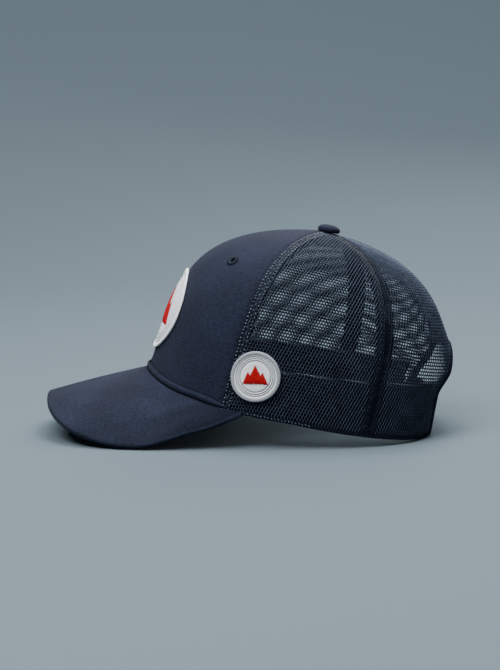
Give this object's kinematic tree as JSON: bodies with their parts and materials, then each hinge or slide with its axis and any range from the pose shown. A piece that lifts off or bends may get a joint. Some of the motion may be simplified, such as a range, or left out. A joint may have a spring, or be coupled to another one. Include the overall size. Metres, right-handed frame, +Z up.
{
  "type": "trucker cap",
  "caption": "Trucker cap with a stiff twill front, open mesh sides and back, a curved visor, round sewn patches and a snap strap that opens.",
  "frame": {"origin": "on the table under the middle of the cap, which rests on its visor and the back of its crown", "axes": "+Z up, the visor points to -Y, the wearer's left is +X"},
  "size_m": [0.1685, 0.2821, 0.1428],
  "materials": {
    "navy_twill": "matt cotton twill",
    "stiff_liner": "stiff woven liner",
    "navy_mesh": "open polyester net",
    "seam_tape": "woven tape",
    "sweatband_cloth": "twill over thin foam",
    "board_plastic": "flexible sheet",
    "strap_plastic": "satin moulded plastic",
    "rivet_metal": "pressed",
    "white_thread": "embroidered",
    "silver_thread": "overlocked thread",
    "red_thread": "satin-stitched"
  },
  "bodies": {
    "root": {"front_panel": "navy_twill", "crown_button": "navy_twill", "eyelet_left": "navy_twill", "eyelet_right": "navy_twill", "visor_top_cover": "navy_twill", "visor_under_cover": "navy_twill", "visor_welt": "navy_twill", "front_buckram": "stiff_liner", "side_mesh_left": "navy_mesh", "side_mesh_right": "navy_mesh", "back_mesh_left": "navy_mesh", "back_mesh_right": "navy_mesh", "front_seam_tape_left": "seam_tape", "front_seam_tape_right": "seam_tape", "side_seam_tape_left": "seam_tape", "side_seam_tape_right": "seam_tape", "back_seam_tape": "seam_tape", "arch_binding": "seam_tape", "hem_left": "seam_tape", "hem_right": "seam_tape", "sweatband": "sweatband_cloth", "visor_board": "board_plastic", "peg_strap_tab": "strap_plastic", "hole_strap_tab": "strap_plastic", "button_rivet": "rivet_metal", "front_patch_base": "white_thread", "front_patch_border": "white_thread", "side_patch_base": "white_thread", "side_patch_border": "silver_thread", "front_patch_motif": "red_thread", "side_patch_motif": "red_thread"},
    "peg_strap": {"peg_strap": "strap_plastic"},
    "hole_strap": {"hole_strap": "strap_plastic"}
  },
  "joints": [
    {"name": "peg_strap_bend", "type": "hinge", "parent": "root", "child": "peg_strap", "pos_m": [0.0325, 0.12237, 0.01829], "axis": [0, 0.2334, 0.9724], "range_deg": [0, 35], "stiffness_Nm_per_rad": 0.01},
    {"name": "hole_strap_bend", "type": "hinge", "parent": "root", "child": "hole_strap", "pos_m": [-0.0325, 0.12422, 0.01785], "axis": [0, 0.2334, 0.9724], "range_deg": [0, 55], "stiffness_Nm_per_rad": 0.01}
  ]
}
